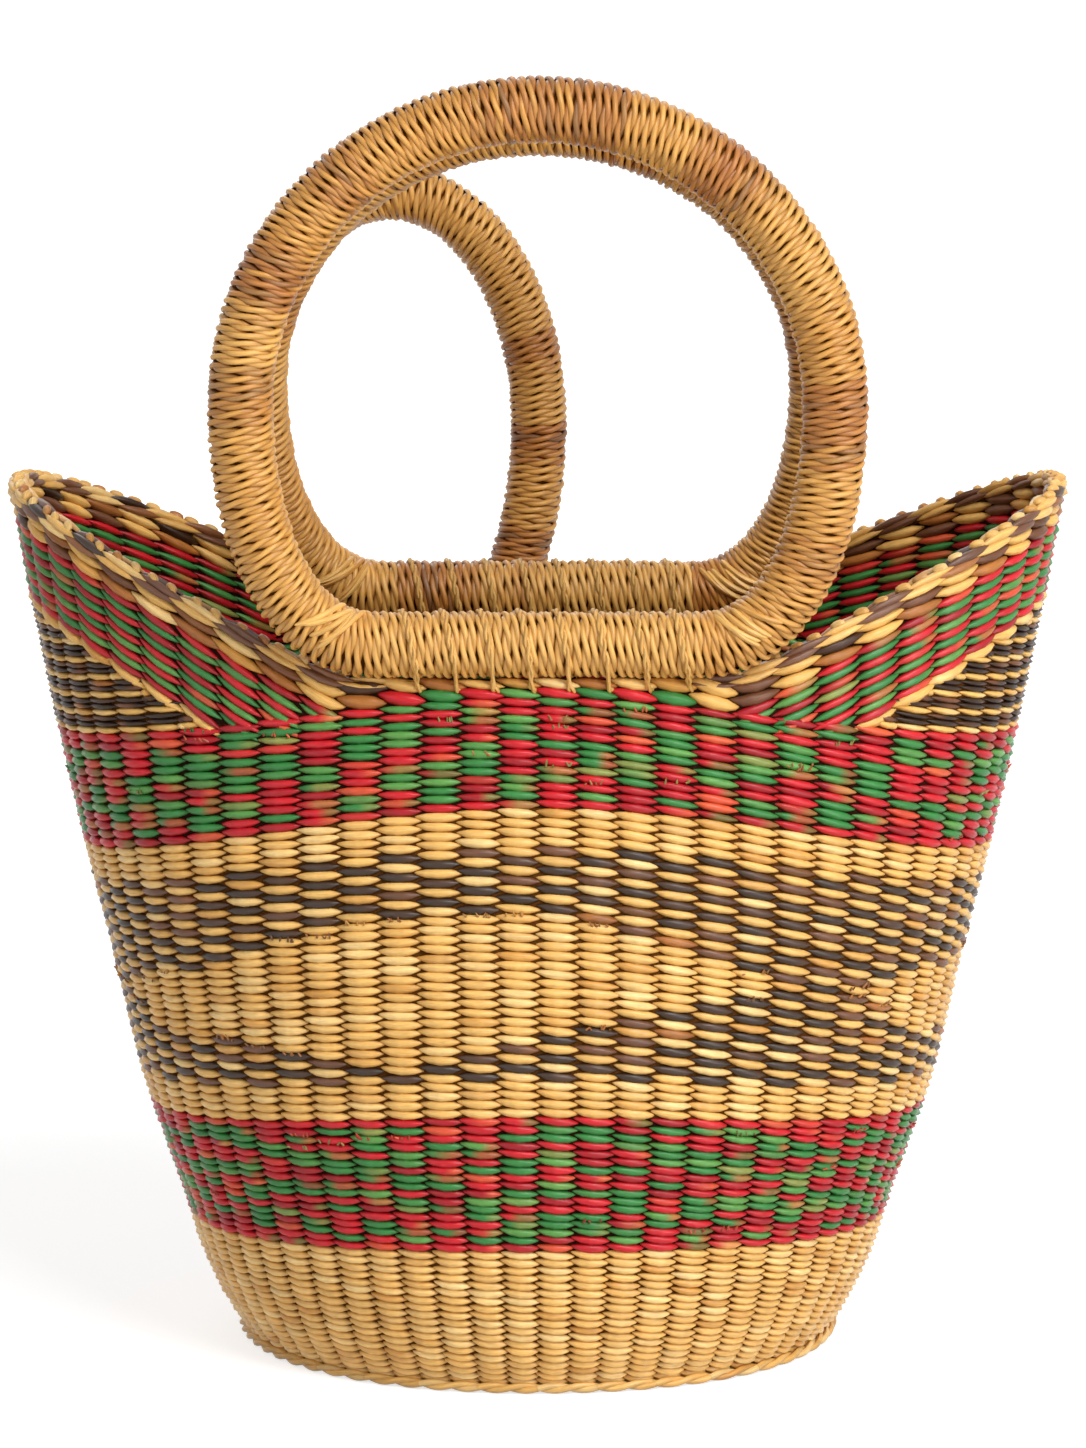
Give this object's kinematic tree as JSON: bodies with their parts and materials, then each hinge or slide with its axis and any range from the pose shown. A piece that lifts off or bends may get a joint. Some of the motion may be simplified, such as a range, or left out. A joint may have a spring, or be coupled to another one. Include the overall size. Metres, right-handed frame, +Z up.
{
  "type": "bolga basket",
  "caption": "Twined straw bolga basket with an oval open body, raised wings, wrapped ring handles on the rim and a small wrapped hanging loop behind.",
  "frame": {"origin": "centre of the flat base, on the surface that the basket stands on", "axes": "+Z up; +X to the right as the front handle is looked at; +Y away from the front, towards the hanging loop"},
  "size_m": [0.4124, 0.2965, 0.5051],
  "materials": {
    "pale_straw": "satin",
    "straw": "satin",
    "cane": "satin",
    "dyed_red": "satin",
    "dyed_brown": "satin"
  },
  "bodies": {
    "body": {"base_weft": "pale_straw", "foot_rope": "straw", "warp_stakes": "cane", "lower_natural_weft": "pale_straw", "lower_red_green_weft": "dyed_red", "leaf_pattern_weft": "straw", "upper_red_green_weft": "dyed_red", "rim_row_weft": "dyed_brown", "left_wing_striped_weft": "dyed_brown", "left_wing_red_green_weft": "dyed_red", "left_rim_braid": "straw", "right_wing_striped_weft": "dyed_brown", "right_wing_red_green_weft": "dyed_red", "right_rim_braid": "straw", "front_lashing": "pale_straw", "rear_lashing": "pale_straw", "loop_lashing": "pale_straw"},
    "front_handle": {"front_handle_core": "cane", "front_handle_bar_wrap": "pale_straw", "front_handle_left_corner_wrap": "straw", "front_handle_hoop_wrap": "straw", "front_handle_right_corner_wrap": "straw"},
    "rear_handle": {"rear_handle_core": "cane", "rear_handle_bar_wrap": "pale_straw", "rear_handle_left_corner_wrap": "straw", "rear_handle_hoop_wrap": "straw", "rear_handle_right_corner_wrap": "straw"},
    "hanging_loop": {"hanging_loop_core": "cane", "hanging_loop_bar_wrap": "pale_straw", "hanging_loop_left_corner_wrap": "straw", "hanging_loop_hoop_wrap": "straw", "hanging_loop_right_corner_wrap": "straw"}
  },
  "joints": [
    {"name": "front_handle_hinge", "type": "hinge", "parent": "body", "child": "front_handle", "pos_m": [0, -0.114, 0.2901], "axis": [-1, 0, 0], "range_deg": [-95, 28]},
    {"name": "rear_handle_hinge", "type": "hinge", "parent": "body", "child": "rear_handle", "pos_m": [0, 0.091, 0.2766], "axis": [-1, 0, 0], "range_deg": [-58, 0]},
    {"name": "hanging_loop_hinge", "type": "hinge", "parent": "body", "child": "hanging_loop", "pos_m": [-0.0592, 0.1388, 0.25], "axis": [-1, 0, 0], "range_deg": [-4, 110]}
  ]
}
